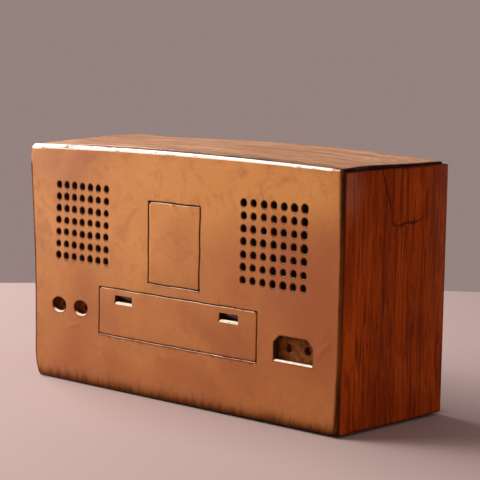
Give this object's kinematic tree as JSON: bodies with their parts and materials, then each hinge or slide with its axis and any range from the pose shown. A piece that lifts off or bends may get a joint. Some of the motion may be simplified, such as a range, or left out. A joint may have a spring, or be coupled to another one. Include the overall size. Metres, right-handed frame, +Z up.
{
  "type": "leather portable radio",
  "caption": "Portable radio with leather front and rear faces on a wood cabinet, vent-hole arrays, hinged battery door with latches, sockets, dial and control knobs.",
  "frame": {"origin": "on the resting surface, under the centre of the whole object's box", "axes": "+X to the right seen from the front, +Y from the front face to the rear cover, +Z up"},
  "size_m": [0.2784, 0.1178, 0.1655],
  "materials": {
    "leather": "waxed tan leather with burnished edges",
    "leather_maroon": "dark maroon polished leather",
    "wood": "red-brown stained wood, satin",
    "wood_top": "tan streaked wood sheet, satin",
    "wood_raw": "unfinished board",
    "cloth_black": "matt black scrim",
    "cloth_grille": "woven grille cloth",
    "plastic_brown": "polished brown bakelite",
    "plastic_black": "moulded matt black",
    "brass": "polished",
    "steel": "plated sheet",
    "cell_jacket": "printed tin jacket, no lettering",
    "circuit": "varnished paper laminate",
    "ferrite": "sintered, matt",
    "paper": "pressed paper cone",
    "dial": null,
    "glass": "clear",
    "felt": "pressed felt",
    "copper": "enamelled wire winding"
  },
  "bodies": {
    "cabinet": {"rear_leather": "leather", "front_leather": "leather", "label_inlay": "leather", "cover_catch": "leather_maroon", "side_board_left": "wood", "side_board_right": "wood", "top_cover": "wood_top", "top_board": "wood_raw", "bottom_board": "wood_raw", "front_board": "wood_raw", "rear_board": "wood_raw", "vent_cloth_left": "cloth_black", "vent_cloth_right": "cloth_black", "dial_cord": "cloth_black", "grille_cloth_left": "cloth_grille", "grille_cloth_right": "cloth_grille", "jack_socket_left": "plastic_brown", "jack_socket_right": "plastic_brown", "mains_inlet": "plastic_brown", "battery_tray": "plastic_black", "catch_stud_lower": "brass", "catch_stud_upper": "brass", "inlet_pin_1": "brass", "inlet_pin_2": "brass", "battery_contact_left": "steel", "battery_contact_right": "steel", "transformer_core": "steel", "tuning_capacitor": "steel", "speaker_basket_left": "steel", "speaker_basket_right": "steel", "volume_control": "steel", "band_switch": "steel", "pulley_pin_left": "steel", "pulley_pin_right": "steel", "battery_1": "cell_jacket", "battery_2": "cell_jacket", "battery_3": "cell_jacket", "battery_4": "cell_jacket", "circuit_board": "circuit", "ferrite_aerial": "ferrite", "speaker_magnet_left": "ferrite", "speaker_magnet_right": "ferrite", "speaker_cone_left": "paper", "speaker_cone_right": "paper", "dial_scale": "dial", "dial_window": "glass", "foot_runner_left": "felt", "foot_runner_right": "felt", "transformer_coil": "copper"},
    "battery_door": {"door_leather": "leather", "door_board": "wood_raw"},
    "latch_left": {"door_latch_left": "plastic_brown"},
    "latch_right": {"door_latch_right": "plastic_brown"},
    "tuning": {"tuning_knob": "plastic_brown"},
    "drum": {"dial_drum": "plastic_brown"},
    "pulley_left": {"dial_pulley_left": "brass"},
    "pulley_right": {"dial_pulley_right": "brass"},
    "pointer": {"dial_pointer": "brass"},
    "volume": {"volume_knob": "plastic_brown"},
    "band": {"band_knob": "plastic_brown"}
  },
  "joints": [
    {"name": "door_hinge", "type": "hinge", "parent": "cabinet", "child": "battery_door", "pos_m": [-0.0022, 0.05885, 0.0375], "axis": [-1, 0, 0], "range_deg": [0, 110]},
    {"name": "latch_left_slide", "type": "slide", "parent": "battery_door", "child": "latch_left", "axis": [0, 0, -1], "range_m": [0, 0.0025], "stiffness_N_per_m": 250, "springref_m": -0.002},
    {"name": "latch_right_slide", "type": "slide", "parent": "battery_door", "child": "latch_right", "axis": [0, 0, -1], "range_m": [0, 0.0025], "stiffness_N_per_m": 250, "springref_m": -0.002},
    {"name": "tuning_turn", "type": "hinge", "parent": "cabinet", "child": "tuning", "pos_m": [-0.0022, -0.04285, 0.036], "axis": [0, 1, 0], "range_deg": [-450, 450]},
    {"name": "drum_turn", "type": "hinge", "parent": "cabinet", "child": "drum", "pos_m": [-0.0162, -0.02835, 0.08], "axis": [0, 1, 0], "range_deg": [-90, 90]},
    {"name": "pulley_left_turn", "type": "hinge", "parent": "cabinet", "child": "pulley_left", "pos_m": [-0.0442, -0.02835, 0.1245], "axis": [0, 1, 0], "range_deg": [-350.1, 350.1]},
    {"name": "pulley_right_turn", "type": "hinge", "parent": "cabinet", "child": "pulley_right", "pos_m": [0.0398, -0.02835, 0.1245], "axis": [0, 1, 0], "range_deg": [-350.1, 350.1]},
    {"name": "pointer_slide", "type": "slide", "parent": "cabinet", "child": "pointer", "axis": [1, 0, 0], "range_m": [-0.0275, 0.0275]},
    {"name": "volume_turn", "type": "hinge", "parent": "cabinet", "child": "volume", "pos_m": [0.0833, -0.04285, 0.036], "axis": [0, 1, 0], "range_deg": [-150, 150]},
    {"name": "band_turn", "type": "hinge", "parent": "cabinet", "child": "band", "pos_m": [-0.0877, -0.04285, 0.036], "axis": [0, 1, 0], "range_deg": [-45, 45]}
  ],
  "couplings": [
    {"joint": "drum_turn", "follows": "tuning_turn", "ratio": 0.2},
    {"joint": "pulley_left_turn", "follows": "tuning_turn", "ratio": 0.77778},
    {"joint": "pulley_right_turn", "follows": "tuning_turn", "ratio": 0.77778},
    {"joint": "pointer_slide", "follows": "tuning_turn", "m_per_rad": 0.0035}
  ]
}
